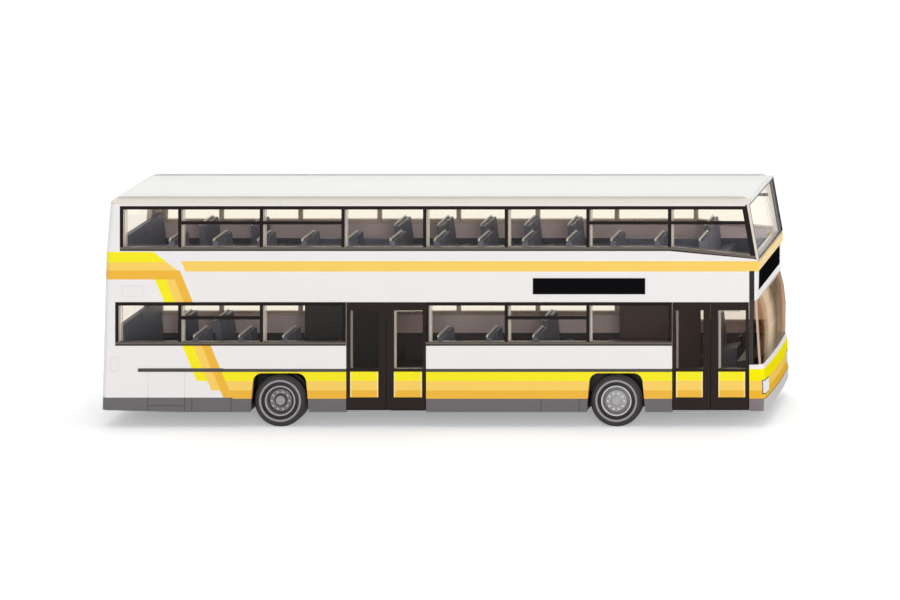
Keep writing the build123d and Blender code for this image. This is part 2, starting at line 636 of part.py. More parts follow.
def upper_deck():
    """Upper floor and its seats, one moulding, with an opening over each stair."""
    z = UPPER_FLOOR_Z
    edge = INNER_W - GLASS_T - SIDE_ROOM
    deck = block((rear_face_x(z[1]) + WALL + GLASS_T + 0.3, JOINT_X - 0.3), (-edge, edge), z)
    for stair in (REAR_STAIR_X, FRONT_STAIR_X):
        well = (STAIR_Y[0] + 0.6, STAIR_Y[1] - 0.4)
        deck = deck - block((stair[0] + 0.6, stair[1] - 0.6), well, (z[0] - 1, z[1] + 1))
    right_row = [UPPER_FIRST_SEAT_X + SEAT_PITCH * i for i in range(UPPER_ROWS)]
    seats = seat_row(right_row, -1, z[1], UPPER_SEAT_TOP_Z)
    seats += seat_row([along(share) for share in UPPER_LEFT_SEATS], 1, z[1], UPPER_SEAT_TOP_Z)
    bench_x = rear_face_x(z[1]) + WALL + GLASS_T + 1.2
    bench = seat(bench_x, -INNER_W + GLASS_T + 0.5, INNER_W - GLASS_T - 0.5, z[1], UPPER_SEAT_TOP_Z + 0.8)
    guards = [block((s[0], s[1]), (STAIR_Y[0], STAIR_Y[0] + STAIR_WALL), (z[1], UPPER_SEAT_TOP_Z - up(53.5)))
              for s in (REAR_STAIR_X, FRONT_STAIR_X)]
    return joined([deck, bench] + seats + guards)


def wheel_width(axle_x):
    return FRONT_TYRE_W if axle_x > 0 else REAR_TYRE_W


def lower_deck():
    """Lower floor and its seats, one moulding, with a box over each wheel."""
    z = LOWER_FLOOR_Z
    edge = INNER_W - GLASS_T - SIDE_ROOM
    top = ARCH_TOP_Z + 0.1
    deck = block((rear_face_x(z[1]) + WALL + GLASS_T + 0.3, JOINT_X - 0.3), (-edge, edge), z)
    hollows = []
    for axle_x in (FRONT_AXLE_X, REAR_AXLE_X):
        x = (axle_x - ARCH_R - 0.1, axle_x + ARCH_R + 0.1)
        depth = HALF_W - WHEEL_INSET - wheel_width(axle_x) - WHEEL_BOX_GAP
        deck = joined([deck] + wheel_boxes(axle_x, 0))
        hollows += [block(x, y, (z[0] - 1, top)) for y in ((-edge - 1, -depth), (depth, edge + 1))]
    seats = seat_row([along(share) for share in LOWER_RIGHT_SEATS], -1, z[1], LOWER_SEAT_TOP_Z)
    seats += seat_row([along(share) for share in LOWER_LEFT_SEATS], 1, z[1], LOWER_SEAT_TOP_Z)
    bench_x = rear_face_x(z[1]) + WALL + GLASS_T + 1.2
    bench = seat(bench_x, -INNER_W + GLASS_T + 0.5, INNER_W - GLASS_T - 0.5, z[1], LOWER_SEAT_TOP_Z + 2.4)
    deck = joined([deck, bench] + seats)
    for hollow in hollows:
        deck = deck - hollow
    return deck


def stair(stair_x, floor_z, top_z):
    """Flight of steps behind a wall that faces the aisle."""
    run = (stair_x[1] - stair_x[0]) / STEPS
    rise = (top_z - floor_z) / (STEPS + 1)
    outline = [(stair_x[0], floor_z)]
    for i in range(STEPS):
        x = stair_x[1] - run * i
        outline += [(x, floor_z + rise * i), (x, floor_z + rise * (i + 1))]
    outline.append((stair_x[0], floor_z + rise * STEPS))
    steps = prism_y(outline, *STAIR_Y)
    wall = block(stair_x, (STAIR_Y[0] - STAIR_WALL, STAIR_Y[0]), (floor_z, top_z))
    flight = steps + wall
    for axle_x in (FRONT_AXLE_X, REAR_AXLE_X):
        for box in wheel_boxes(axle_x, FIT_GAP):
            flight = flight - box
    return flight


# Driver's place

def dashboard():
    rear, front, floor = JOINT_X - 3.2, JOINT_X + 1.3, LOWER_FLOOR_Z[1]
    profile = [(rear, floor), (JOINT_X - 0.4, floor), (front, PANEL_TOP_Z - 0.2), (front, PANEL_TOP_Z + 0.5),
               (rear, PANEL_TOP_Z - 0.4)]
    return prism_y(profile, -INNER_W + 3.2, INNER_W - 0.4)


def steering_wheel():
    hub = Pos(JOINT_X - 3.6, DRIVER_Y, PANEL_TOP_Z + 1.9) * Rot(0, -35, 0)
    rim = Torus(2.2, 0.28)
    spokes = [Rot(0, 0, a) * Pos(1.0, 0, 0) * Box(2.1, 0.4, 0.3) for a in (0, 120, 240)]
    column = Pos(0, 0, -1.05) * Cylinder(0.4, 2.3)
    return hub * joined([rim, column] + spokes)


def driver_seat():
    top = LOWER_SEAT_TOP_Z + 0.6
    return seat(JOINT_X - along(74.1), DRIVER_Y - 2.6, DRIVER_Y + 2.6, LOWER_FLOOR_Z[1], top)


# Chassis

# Relief under the chassis plate, in thousandths of the length and width, and its drop in millimetres:
# rear X, front X, right Y, left Y, drop
UNDERSIDE = ((-465, -350, -180, 220, 0.9),      # engine sump
             (-350, -303, -105, 105, 0.6),      # gearbox
             (-303, -259, -30, 30, 0.45),       # propeller shaft
             (-70, 102, -170, 170, 0.8),        # flat pad for a plinth
             (-70, 46, -400, -230, 0.6),        # tanks
             (26, 157, 230, 400, 0.6),
             (319, 431, -150, 60, 0.6))         # steering box


def chassis():
    """Base plate with axle bearers, engine sump, gearbox, propeller shaft and tanks in relief below it."""
    z = CHASSIS_Z
    edge = INNER_W - FIT_GAP
    plate = block((REAR_X + WALL + 0.9, JOINT_X - FIT_GAP), (-edge, edge), z)
    for axle_x in (FRONT_AXLE_X, REAR_AXLE_X):
        x = (axle_x - ARCH_R - 0.1, axle_x + ARCH_R + 0.1)
        depth = HALF_W - WHEEL_INSET - wheel_width(axle_x) - WHEEL_BOX_GAP
        plate = plate - block(x, (-edge - 1, -depth), (z[0] - 1, z[1] + 1))
        plate = plate - block(x, (depth, edge + 1), (z[0] - 1, z[1] + 1))
        x, t = (axle_x - 1.6, axle_x + 1.6), BEARER_T / 2
        bearers = [block(x, (y - t, y + t), (z[1] - 0.2, LOWER_FLOOR_Z[0])) for y in (-BEARER_Y, BEARER_Y)]
        plate = joined([plate] + bearers)
    relief = [block((along(x0), along(x1)), (across_share(y0), across_share(y1)), (z[0] - drop, z[0] + 0.2))
              for x0, x1, y0, y1, drop in UNDERSIDE]
    low = BUMPER_STATIONS[0]
    tongue = front_plan(z[0], low[1], low[2], PANEL_CORNER_R, WALL + FIT_GAP, JOINT_X - 1)
    plate = joined([plate, extrude(tongue, amount=z[1] - z[0], dir=(0, 0, 1))] + relief)
    for axle_x in (FRONT_AXLE_X, REAR_AXLE_X):
        plate = plate - across(-HALF_W, axle_x, TYRE_R, AXLE_R + AXLE_RUN, WIDTH)
    return plate


# Wheels

def revolve_wheel(profile, axle_x, side):
    """Turned piece from (distance in from the wheel face, radius) points, placed at one end of an axle."""
    points = [(0, side * (HALF_W - WHEEL_INSET - depth), r) for depth, r in profile]
    face = flat(points)
    return Pos(axle_x, 0, TYRE_R) * revolve(face, axis=Axis.Y)


def tyre(axle_x, side):
    """Tyre with a raised ring on its wall; the rear ones are twins with a groove between them."""
    w = wheel_width(axle_x)
    shoulder, gap = 0.45, 0.25
    inner, (rib_low, rib_high) = RIM_R + RIM_FIT, SIDEWALL_RIB_R
    wall = [(0.3, inner), (0.08, inner + 0.25), (0.25, rib_low - 0.2), (0, rib_low), (0, rib_high),
            (0.2, rib_high + 0.15), (0.22, TYRE_R - shoulder), (shoulder + 0.1, TYRE_R)]
    twin = [(w / 2 - gap - 0.2, TYRE_R), (w / 2 - gap / 2, TYRE_R - 1.0), (w / 2 + gap / 2, TYRE_R - 1.0),
            (w / 2 + gap + 0.2, TYRE_R)]
    back = [(w - shoulder, TYRE_R), (w, TYRE_R - shoulder), (w, inner)]
    return revolve_wheel(wall + ([] if axle_x > 0 else twin) + back, axle_x, side)


def rim(axle_x, side):
    """Dished wheel: raised hub in front, deep dish with a stub hub at the rear."""
    w = wheel_width(axle_x)
    bore = AXLE_R + RIM_FIT
    if axle_x > 0:
        profile = [(0.1, RIM_R), (0.1, RIM_R - 0.25), (0.55, RIM_R - 0.4), (0.5, 2.2), (0.3, 2.05), (0.2, 1.1),
                   (-0.05, 0.75), (-0.05, 0.0), (0.6, 0.0), (0.6, bore), (w - 0.3, bore), (w - 0.3, RIM_R)]
    else:
        profile = [(0.1, RIM_R), (0.1, RIM_R - 0.25), (1.15, RIM_R - 0.42), (1.15, 2.2), (0.8, 2.1), (0.8, 1.3),
                   (1.1, 1.2), (1.1, 1.05), (0.35, 0.9), (0.35, 0.0), (1.4, 0.0), (1.4, bore), (w - 0.3, bore),
                   (w - 0.3, RIM_R)]
    wheel = revolve_wheel(profile, axle_x, side)
    ring, depth = (1.6, 0.2) if axle_x > 0 else (1.7, 0.75)
    y = side * (HALF_W - WHEEL_INSET - depth)
    nut = Rot(90, 0, 0) * Cylinder(0.2, 0.7)
    turns = [math.tau * i / NUTS for i in range(NUTS)]
    nuts = [Pos(axle_x + ring * math.cos(a), y, TYRE_R + ring * math.sin(a)) * nut for a in turns]
    return joined([wheel] + nuts)


def axle(axle_x):
    depth = 0.6 if axle_x > 0 else 1.4
    end = HALF_W - WHEEL_INSET - depth - RIM_FIT
    return across(-end, axle_x, TYRE_R, AXLE_R, 2 * end)


# Trim, lamps and rear end

def rub_rails():
    """Thin dark mouldings along the sides at waist height of the skirt."""
    z = (RAIL_Z - RAIL_H / 2, RAIL_Z + RAIL_H / 2)
    right = (-HALF_W - RAIL_PROUD, -HALF_W)
    left = (HALF_W, HALF_W + RAIL_PROUD)
    return [block((RAIL_REAR_X, MIDDLE_DOOR_X[0]), right, z),
            block((MIDDLE_DOOR_X[1] + 0.1, FRONT_DOOR_X[0]), right, z),
            block((RAIL_REAR_X, JOINT_X), left, z)]


def side_signs():
    """Blank dark route panel on the right side."""
    return [block(SIDE_SIGN_X, (-HALF_W - 0.1, -HALF_W), SIDE_SIGN_Z)]


def rear_plate(y, z, proud):
    """Thin plate on the leaning rear wall."""
    ends = [(rear_face_x(z[0]) - proud, z[0]), (rear_face_x(z[0]), z[0]), (rear_face_x(z[1]), z[1]),
            (rear_face_x(z[1]) - proud, z[1])]
    return prism_y(ends, *y)


def tail_lamps():
    low, high = TAIL_LAMP_Y
    return [rear_plate(y, TAIL_LAMP_Z, 0.2) for y in ((low, high), (-high, -low))]


def rear_grille():
    """Engine louvre: a plate with level slots."""
    grille = rear_plate(GRILLE_Y, GRILLE_Z, 0.25)
    step = (GRILLE_Z[1] - GRILLE_Z[0]) / GRILLE_BARS
    for i in range(GRILLE_BARS):
        z = GRILLE_Z[0] + step * (i + 0.5)
        slot = rear_plate((GRILLE_Y[0] + 0.4, GRILLE_Y[1] - 0.4), (z - step * 0.28, z + step * 0.28), 1.0)
        grille = grille - Pos(-0.1, 0, 0) * slot
    return grille


def rear_frames():
    made = []
    for half, sill, head in rear_windows():
        frame = rear_slab(half, sill, head, -FRAME_PROUD, FRAME_DEPTH)
        inner = half - FRAME_BAR
        hole = block((REAR_X - 1, REAR_X + 4), (-inner, inner), (sill + FRAME_BAR, head - FRAME_BAR))
        made.append(frame - hole)
    return made


def rear_glass():
    made = []
    for half, sill, head in rear_windows():
        bar = FRAME_BAR + PANE_GAP
        pane = rear_slab(half - bar, sill + bar, head - bar, PANE_RECESS, WALL)
        made.append(pane + rear_slab(half, sill, head, WALL, GLASS_T + WALL))
    return made


def main():
    os.makedirs("parts", exist_ok=True)
    write("body_shell", body_shell())
    write("roof", roof())
    for side, right in (("right", True), ("left", False)):
        write(f"upper_frames_{side}",
              frame_lattice([upper_outline()], upper_bays(), UPPER_TOP_LIGHTS, UPPER_HOPPER_Z, right))
        lower = lower_outlines(right, PILLAR_W / 2)
        write(f"lower_frames_{side}",
              frame_lattice(lower, lower_bays(right), LOWER_TOP_LIGHTS[right], LOWER_HOPPER_Z, right))
        write(f"upper_glass_{side}", glazing(upper_strip(), upper_bays(), right))
        split = [lower_bays(right)[:3], lower_bays(right)[3:]] if right else [lower_bays(right)]
        write(f"lower_glass_{side}", *[glazing(o, b, right) for o, b in zip(lower_outlines(right, 0), split)])
    write("rear_frames", *rear_frames())
    write("rear_glass", *rear_glass())
    write("front_bumper", front_shell(BUMPER_STATIONS, PANEL_CORNER_R, WALL))
    write("front_panel", front_panel())
    write("headlights", *headlights())
    write("windscreen", front_shell(SCREEN_STATIONS, SCREEN_CORNER_R, GLASS_T))
    write("front_header", front_header())
    write("front_sign", front_sign())
    write("upper_front_frame", upper_front_frame())
    write("upper_front_glass", upper_front_glass())
    for name, door_x in (("front", FRONT_DOOR_X), ("middle", MIDDLE_DOOR_X)):
        write(f"{name}_door_leaves", *door_leaves(door_x))
        write(f"{name}_door_panels", *door_panels(door_x))
        write(f"{name}_door_glass", *door_glass(door_x))
    write("upper_deck", upper_deck())
    write("lower_deck", lower_deck())
    write("rear_stair", stair(REAR_STAIR_X, LOWER_FLOOR_Z[1], UPPER_FLOOR_Z[0]))
    write("front_stair", stair(FRONT_STAIR_X, LOWER_FLOOR_Z[1], UPPER_FLOOR_Z[0]))
    write("dashboard", dashboard())
    write("steering_wheel", steering_wheel())
    write("driver_seat", driver_seat())
    write("chassis", chassis())
    for name, axle_x in (("front", FRONT_AXLE_X), ("rear", REAR_AXLE_X)):
        write(f"{name}_axle", axle(axle_x))
        write(f"{name}_rims", rim(axle_x, -1), rim(axle_x, 1))
        write(f"{name}_tyres", tyre(axle_x, -1), tyre(axle_x, 1))
    write("rub_rails", *rub_rails())
    write("side_sign", *side_signs())
    write("tail_lamps", *tail_lamps())
    write("rear_grille", rear_grille())


main()
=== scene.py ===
"""Scale model of a double decker bus: finishes, small trim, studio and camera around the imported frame.

The frame is in metres, with +X to the front of the bus, +Y to its left and +Z up. Sizes named here are
millimetres on the model unless a comment says otherwise.
"""
import math

import bmesh
import bpy
from mathutils import Matrix, Vector


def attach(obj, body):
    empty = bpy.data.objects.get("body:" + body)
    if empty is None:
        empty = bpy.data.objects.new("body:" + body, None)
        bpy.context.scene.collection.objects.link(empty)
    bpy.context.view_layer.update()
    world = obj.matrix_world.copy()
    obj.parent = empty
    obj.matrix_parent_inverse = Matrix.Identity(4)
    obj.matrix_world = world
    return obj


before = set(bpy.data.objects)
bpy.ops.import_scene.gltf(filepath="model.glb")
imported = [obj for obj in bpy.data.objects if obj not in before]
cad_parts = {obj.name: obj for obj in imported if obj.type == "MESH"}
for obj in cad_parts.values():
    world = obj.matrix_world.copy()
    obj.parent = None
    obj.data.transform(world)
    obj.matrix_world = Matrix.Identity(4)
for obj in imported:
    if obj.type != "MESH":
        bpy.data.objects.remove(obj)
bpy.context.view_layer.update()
MM = 0.001
BODY = "bus_body"

# Colours as seen, red green blue out of 255
WHITE = (255, 255, 255)
SIDE_WHITE = (239, 235, 234)
ROOF_WHITE = (238, 237, 233)
# Roof shoulders, painted darker and warmer as shade
SHOULDER_SHADE = (228, 221, 213)
INNER_WHITE = (250, 246, 240)
# The white inside of the shell, painted grey as shade, and darker at the foot of each deck
INNER_SHADE = (220, 204, 214)
UPPER_FOOT_SHADE = (84, 86, 104)
LOWER_FOOT_SHADE = (74, 66, 70)
# Light plastic of the reveals, also the colour of the painted highlights on the side panes
REVEAL_AND_HIGHLIGHT = (222, 214, 202)
# Painted shade on the level faces of the right side's reveals, on each deck
UPPER_SILL_SHADE = (112, 105, 97)
LOWER_SILL_SHADE = (62, 55, 52)
# Grey bars on the frames' feet, painted as the shaded tops of the sills
SILL_SHADE_GREY = (106, 99, 91)
FRAME_BLACK = (27, 20, 17)
YELLOW = (250, 236, 14)
LIGHT_ORANGE = (250, 208, 98)
ORANGE = (241, 184, 56)
SKIRT_GREY = (106, 102, 104)
PALE_EDGE = (250, 238, 190)
# Painted shadow of the rub rails
RAIL_SHADOW = (96, 94, 97)
RAIL_GREY = (60, 54, 52)
BUMPER_GREY = (188, 184, 180)
BUMPER_SIDE = (120, 109, 113)
BEZEL_GREY = (96, 88, 70)
LAMP_CLEAR = (226, 228, 230)
LAMP_RED = (160, 20, 16)
SIGN_BLACK = (16, 15, 17)
DOOR_BROWN = (36, 27, 23)
CAB_BROWN = (64, 40, 36)
SEAT_SLATE = (104, 107, 131)
STAIR_DARK = (26, 24, 29)
CHASSIS_BLACK = (24, 24, 25)
TYRE_BLACK = (36, 31, 32)
# Painted highlight on the ring of the tyre's wall
TYRE_RING_HIGHLIGHT = (150, 146, 150)
STEEL = (150, 150, 152)
# White of the grab rails, which also stand for the highlights on the seat backs' top edges
GRAB_RAIL_HIGHLIGHT = (248, 246, 242)
# Grey of the roof beads, which also stands for the shade line along the crown
BEAD_SHADE_GREY = (206, 203, 199)

# The wheels' tone, the painted shade deep in their dish and the painted highlight on their lip and nuts
FRONT_RIM = ((165, 163, 166), (98, 94, 97), (212, 211, 214))
REAR_RIM = ((151, 146, 147), (72, 67, 69), (178, 176, 179))

# Tints of the clear mouldings, the colours of their edges, which also serve for the painted highlights on
# them, and of the windscreen's gloss
SMOKE_TINT = (252, 250, 245)
END_TINT, END_EDGE = (254, 252, 249), (152, 138, 136)
DOOR_TINT, DOOR_EDGE_AND_HIGHLIGHT = (241, 236, 230), (186, 176, 164)
SCREEN_TINT, SCREEN_EDGE_AND_HIGHLIGHT, SCREEN_MIRROR = (200, 176, 158), (236, 216, 200), (250, 228, 194)


def linear(colour):
    """Linear RGBA of a colour out of 255."""
    shares = [c / 255 for c in colour]
    return [s / 12.92 if s <= 0.04045 else ((s + 0.055) / 1.055) ** 2.4 for s in shares] + [1.0]


class Field:
    """A number that varies over a surface, in a material's node tree. A test is 1 where it holds, else 0."""

    def __init__(self, tree, socket):
        self.tree, self.socket = tree, socket

    def math(self, operation, *others):
        """What a math node makes of this field and of others, which are fields or numbers."""
        node = self.tree.nodes.new("ShaderNodeMath")
        node.operation = operation
        for slot, value in zip(node.inputs, (self, *others)):
            if isinstance(value, Field):
                self.tree.links.new(value.socket, slot)
            else:
                slot.default_value = value
        return Field(self.tree, node.outputs[0])

    def __add__(self, other):
        return self.math("ADD", other)

    def __sub__(self, other):
        return self.math("SUBTRACT", other)

    def __mul__(self, other):
        return self.math("MULTIPLY", other)

    def __gt__(self, other):
        return self.math("GREATER_THAN", other)

    def __lt__(self, other):
        return self.math("LESS_THAN", other)

    def between(self, low, high):
        """Test whether the field lies between two numbers."""
        return (self > low) * (self < high)

    def either(self, other):
        """The greater of two fields."""
        return self.math("MAXIMUM", other)

    def held(self, low, high):
        """The field, held between two numbers."""
        return self.either(low).math("MINIMUM", high)

    def size(self):
        """The field without its sign."""
        return self.math("ABSOLUTE")


def greatest(shares):
    """The greatest of several fields."""
    most = shares[0]
    for share in shares[1:]:
        most = most.either(share)
    return most


def place(tree):
    """X, Y and Z of the surface point in millimetres."""
    where = tree.nodes.new("ShaderNodeTexCoord")
    split = tree.nodes.new("ShaderNodeSeparateXYZ")
    tree.links.new(where.outputs["Object"], split.inputs[0])
    return [Field(tree, out) * (1 / MM) for out in split.outputs]


def noise(tree, size_mm, detail=3.0):
    """Noise from 0 to 1 with features of about size_mm."""
    where = tree.nodes.new("ShaderNodeTexCoord")
    node = tree.nodes.new("ShaderNodeTexNoise")
    node.inputs["Scale"].default_value = 1 / MM / size_mm
    node.inputs["Detail"].default_value = detail
    tree.links.new(where.outputs["Object"], node.inputs["Vector"])
    return Field(tree, node.outputs["Fac"])


def squareness(tree, axis):
    """How squarely a face looks along an axis, from 0 to 1."""
    turned = tree.nodes.new("ShaderNodeNewGeometry")
    split = tree.nodes.new("ShaderNodeSeparateXYZ")
    tree.links.new(turned.outputs["True Normal"], split.inputs[0])
    return Field(tree, split.outputs["XYZ".index(axis)]).size()


def mixed(tree, share, under, over):
    """Colour over laid on colour under where share is 1; either may be a colour or a socket."""
    node = tree.nodes.new("ShaderNodeMix")
    node.data_type = "RGBA"
    tree.links.new(share.socket, node.inputs["Factor"])
    for key, value in (("A", under), ("B", over)):
        slot = [i for i in node.inputs if i.name == key and i.type == "RGBA"][0]
        if isinstance(value, tuple):
            slot.default_value = linear(value)
        else:
            tree.links.new(value, slot)
    return [o for o in node.outputs if o.type == "RGBA"][0]


def layered(tree, share, under, over):
    """Shader over laid on shader under where share is 1."""
    node = tree.nodes.new("ShaderNodeMixShader")
    tree.links.new(share.math("MINIMUM", 1.0).socket, node.inputs["Fac"])
    tree.links.new(under, node.inputs[1])
    tree.links.new(over, node.inputs[2])
    return node.outputs[0]


def new_material(name):
    """A new material, its node tree and its shader."""
    material = bpy.data.materials.new(name)
    material.use_nodes = True
    return material, material.node_tree, material.node_tree.nodes["Principled BSDF"]


# Moulded plastic: size of the cloudy patches, and detail and strength of the fine grain
CLOUD_MM = 9.0
GRAIN_DETAIL, GRAIN_STRENGTH = 4.0, 0.5


def moulded(name, colour, rough=0.35, spread=0.12, grain_mm=0.6, relief_mm=0.006, cloud=0.03, metal=0.0,
            shine=0.5):
    """Moulded or painted plastic: cloudy colour, uneven gloss and a fine surface grain.

    colour is a colour, or a function of the tree and of X, Y and Z that gives a colour socket.
    """
    material, tree, shader = new_material(name)
    tone = tree.nodes.new("ShaderNodeHueSaturation")
    tree.links.new((noise(tree, CLOUD_MM) * (2 * cloud) + (1.0 - cloud)).socket, tone.inputs["Value"])
    if callable(colour):
        tree.links.new(colour(tree, *place(tree)), tone.inputs["Color"])
    else:
        tone.inputs["Color"].default_value = linear(colour)
    tree.links.new(tone.outputs["Color"], shader.inputs["Base Color"])
    fine = noise(tree, grain_mm, GRAIN_DETAIL)
    tree.links.new((fine * (2 * spread) + (rough - spread)).socket, shader.inputs["Roughness"])
    bump = tree.nodes.new("ShaderNodeBump")
    bump.inputs["Strength"].default_value = GRAIN_STRENGTH
    bump.inputs["Distance"].default_value = relief_mm * MM
    tree.links.new(fine.socket, bump.inputs["Height"])
    tree.links.new(bump.outputs["Normal"], shader.inputs["Normal"])
    shader.inputs["Metallic"].default_value = metal
    shader.inputs["Specular IOR Level"].default_value = shine
    return material


FACING = 0.5                            # squareness above which a face looks along an axis
CUT = 0.3                               # below which it is a cut edge
LEVEL = 0.97                            # above which it is level

# Clear moulding: grain and roughness of its gloss, how that grows at a low angle, and the share of a cut edge
PANE_GRAIN_MM = 1.4
PANE_ROUGH, PANE_ROUGH_SPREAD = 0.04, 0.06
LOW_ANGLE_POWER = 5.0
CUT_SHARE = 0.6


def cut_edges(tree, faces):
    """Test for the cut edges of panes that face along the axis called faces, or of bent ones if None."""
    if faces is None:
        return squareness(tree, "Z") > LEVEL
    return squareness(tree, faces) < CUT


def clear(name, tint, edge_and_highlight, faces="Y", gloss=0.007, sheen=0.7, mirror=WHITE, uneven=None, print_black=None,
          highlight=None):
    """Clear tinted moulding: what lies behind shows through, its cut edges are bright, and the face mirrors
    more at a low angle.

    faces is the axis that the panes face, or None for a bent one. The last three arguments are functions of
    the tree and of X, Y and Z that say how uneven its gloss is, and where it is printed black or carries a
    painted highlight.
    """
    material, tree, shader = new_material(name)
    where = place(tree)
    through = tree.nodes.new("ShaderNodeBsdfTransparent")
    through.inputs["Color"].default_value = linear(tint)
    face = tree.nodes.new("ShaderNodeBsdfAnisotropic")
    face.inputs["Color"].default_value = linear(mirror)
    unevenness = noise(tree, PANE_GRAIN_MM) * PANE_ROUGH_SPREAD + PANE_ROUGH
    for rough in (face.inputs["Roughness"], shader.inputs["Roughness"]):
        tree.links.new(unevenness.socket, rough)
    weight = tree.nodes.new("ShaderNodeLayerWeight")
    low_angle = Field(tree, weight.outputs["Facing"]).math("POWER", LOW_ANGLE_POWER) * sheen + gloss
    if uneven is not None:
        low_angle = low_angle * uneven(tree, *where)
    opaque = cut_edges(tree, faces) * CUT_SHARE
    # Painted highlights are laid on as opaque edge colour
    if highlight is not None:
        opaque = opaque.either(highlight(tree, *where))
    if print_black is None:
        shader.inputs["Base Color"].default_value = linear(edge_and_highlight)
    else:
        printed = print_black(tree, *where)
        tree.links.new(mixed(tree, printed, edge_and_highlight, FRAME_BLACK), shader.inputs["Base Color"])
        opaque = opaque.either(printed)
    pane = layered(tree, low_angle, through.outputs[0], face.outputs[0])
    whole = layered(tree, opaque, pane, shader.outputs[0])
    tree.links.new(whole, tree.nodes["Material Output"].inputs["Surface"])
    return material


# Side windows: feet of the panes on each deck, and the fall of the upper sill ahead of SLOPE_X
DECK_SPLIT_Z = 30.0
PANE_FOOT_Z = {"upper": 35.02, "lower": 16.62}
SLOPE_X, SLOPE = 46.03, 0.104
# The grey bar under the panes is painted shade
FOOT_BAR = 0.46                         # height of the greyer bar under the panes
DRIVER_X = 44.0                         # the lower left side has none ahead of here
FRONT_FRAME_END_Y = 14.2                # the upper front frame's outer ends lie beyond this


def level_height(x, z):
    """Height over a sill that falls at the front as the upper one does."""
    return z + (x - SLOPE_X).either(0.0) * SLOPE


def reveal(tree, y, z):
    """Light plastic round an opening, with painted shade on the level faces of the right side, darker on the
    lower deck.
    """
    foot = mixed(tree, z > DECK_SPLIT_Z, LOWER_SILL_SHADE, UPPER_SILL_SHADE)
    return mixed(tree, (squareness(tree, "Z") > FACING) * (y < 0.0), REVEAL_AND_HIGHLIGHT, foot)


def printed_on(axis):
    """Black on the faces that look along an axis, light plastic in the reveals."""
    def paint(tree, x, y, z):
        return mixed(tree, squareness(tree, axis) > FACING, reveal(tree, y, z), FRAME_BLACK)
    return paint


def side_frame_paint(tree, x, y, z):
    """Black side frames with grey bars of painted shade along their feet, where the shaded tops of the sills
    show.
    """
    lower, upper = PANE_FOOT_Z["lower"], PANE_FOOT_Z["upper"]
    feet = z.between(lower - FOOT_BAR, lower) * (x < DRIVER_X).either(y < 0.0)
    feet = feet.either(level_height(x, z).between(upper - FOOT_BAR, upper))
    return mixed(tree, feet * (squareness(tree, "Y") > FACING), printed_on("Y")(tree, x, y, z), SILL_SHADE_GREY)


def front_frame_paint(tree, x, y, z):
    """Black frame round the upper front window, its outer ends light."""
    ends = (squareness(tree, "Y") > FACING) * (y.size() > FRONT_FRAME_END_Y)
    return mixed(tree, ends, FRAME_BLACK, REVEAL_AND_HIGHLIGHT)


# Painted highlights where the edges of the thick clear panes show through, at the rear of each and along the
# upper ones' feet
PILLAR_X, PITCH, PILLARS, HALF_PILLAR = -49.4, 15.85, 7, 0.33
FIRST_PANE_X = {"upper": -60.33, "lower": -61.23}
AFTER_DOOR_X = -0.99                    # first lower pane ahead of the middle door, on the right only
EDGE_W, EDGE_SHARE = 0.22, 0.85
FOOT_EDGE_H, FOOT_EDGE_SHARE = 0.24, 0.1


def pane_edge_highlights(tree, x, y, z):
    """Painted highlights on the rear edge of each side window and on the upper ones' lower edge."""
    rears = x.between(AFTER_DOOR_X, AFTER_DOOR_X + EDGE_W) * (z < DECK_SPLIT_Z) * (y < 0.0)
    for i in range(PILLARS):
        start = PILLAR_X + PITCH * i + HALF_PILLAR
        rears = rears.either(x.between(start, start + EDGE_W))
    for deck, on_deck in (("upper", z > DECK_SPLIT_Z), ("lower", z < DECK_SPLIT_Z)):
        start = FIRST_PANE_X[deck]
        rears = rears.either(on_deck * x.between(start, start + EDGE_W))
    foot = PANE_FOOT_Z["upper"]
    feet = level_height(x, z).between(foot, foot + FOOT_EDGE_H)
    return (rears * EDGE_SHARE).either(feet * FOOT_EDGE_SHARE)


# Door panes: where each begins and their width, and the painted highlights on the edges of the first and
# second of a pair
DOOR_PANE_X, DOOR_PANE_W = ((-16.47, -7.97), (46.83, 55.06)), 4.2
DOOR_EDGE_W = 0.45
FIRST_DOOR_SHARE, SECOND_DOOR_SHARE = 0.35, 0.8
DOOR_HEAD_Z, DOOR_HEAD_SHARE = 22.35, 0.45


def door_edge_highlights(tree, x, y, z):
    """Painted highlights on the edges of the door panes, less on the first of a pair, and along the second's
    top.
    """
    shares = []
    for first, second in DOOR_PANE_X:
        shares.append(x.between(first, first + DOOR_EDGE_W) * FIRST_DOOR_SHARE)
        shares.append(x.between(second, second + DOOR_EDGE_W) * SECOND_DOOR_SHARE)
        shares.append(x.between(second, second + DOOR_PANE_W) * (z > DOOR_HEAD_Z) * DOOR_HEAD_SHARE)
    return greatest(shares)


# Stripes of the livery
STRIPE_Z = (5.6, 7.2, 9.03, 10.95)      # orange, light orange and yellow along the sides
REAR_STRIPE_Z = (28.75, 30.5, 32.06, 34.1)  # the same three round the rear
BAND_Z, BAND_START = (30.3, 32.3), 1.0  # light orange band, and how far ahead of the diagonals it starts
DIAGONAL = (-50.65, -48.55, -46.82, -45.1)  # edges of the diagonal stripes at SLANT_Z
SLANT, SLANT_Z = 0.412, 20.0            # they lean back by this much for each millimetre up
FOLD_X, FOLD_Z, FOLD_LEAN = -49.75, 30.4, -1.297  # slanting front ends of the rear stripes
REAR_SKIRT_RISE = 0.22                  # the skirt's grey is this much higher behind the stripes


